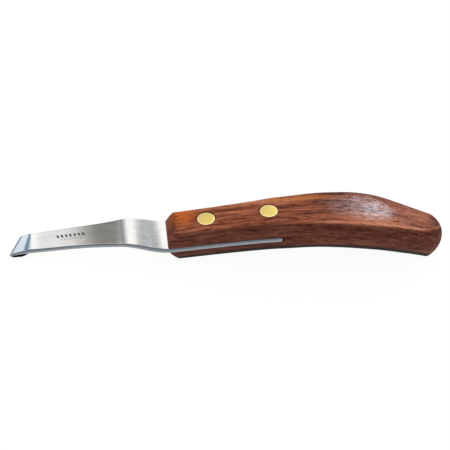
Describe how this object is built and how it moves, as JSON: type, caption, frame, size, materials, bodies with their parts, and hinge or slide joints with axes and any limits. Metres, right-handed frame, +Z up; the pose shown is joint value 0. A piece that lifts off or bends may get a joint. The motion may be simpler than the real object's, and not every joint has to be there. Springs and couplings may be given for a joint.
{
  "type": "hoof knife",
  "caption": "Hoof knife: narrow offset steel blade curled under into a small hook, slab tang in a slotted curved hardwood handle, flush brass rivets.",
  "frame": {"origin": "centre of the bounding box, on the ground, with the knife lying face up on its hook and the underside of its handle's end", "axes": "+X from the hook towards the end of the handle, +Y towards the ground edge of the blade, +Z up; the tang climbs about 9 degrees along +X"},
  "size_m": [0.2072, 0.028, 0.0269],
  "materials": {
    "steel": "satin brushed, polished round the hook",
    "wood": "reddish brown hardwood, oiled and lightly glossy",
    "brass": "ground flush, satin"
  },
  "bodies": {
    "root": {"blade": "steel", "handle": "wood", "rivet_male_front": "brass", "rivet_female_front": "brass", "rivet_male_rear": "brass", "rivet_female_rear": "brass"}
  },
  "joints": []
}
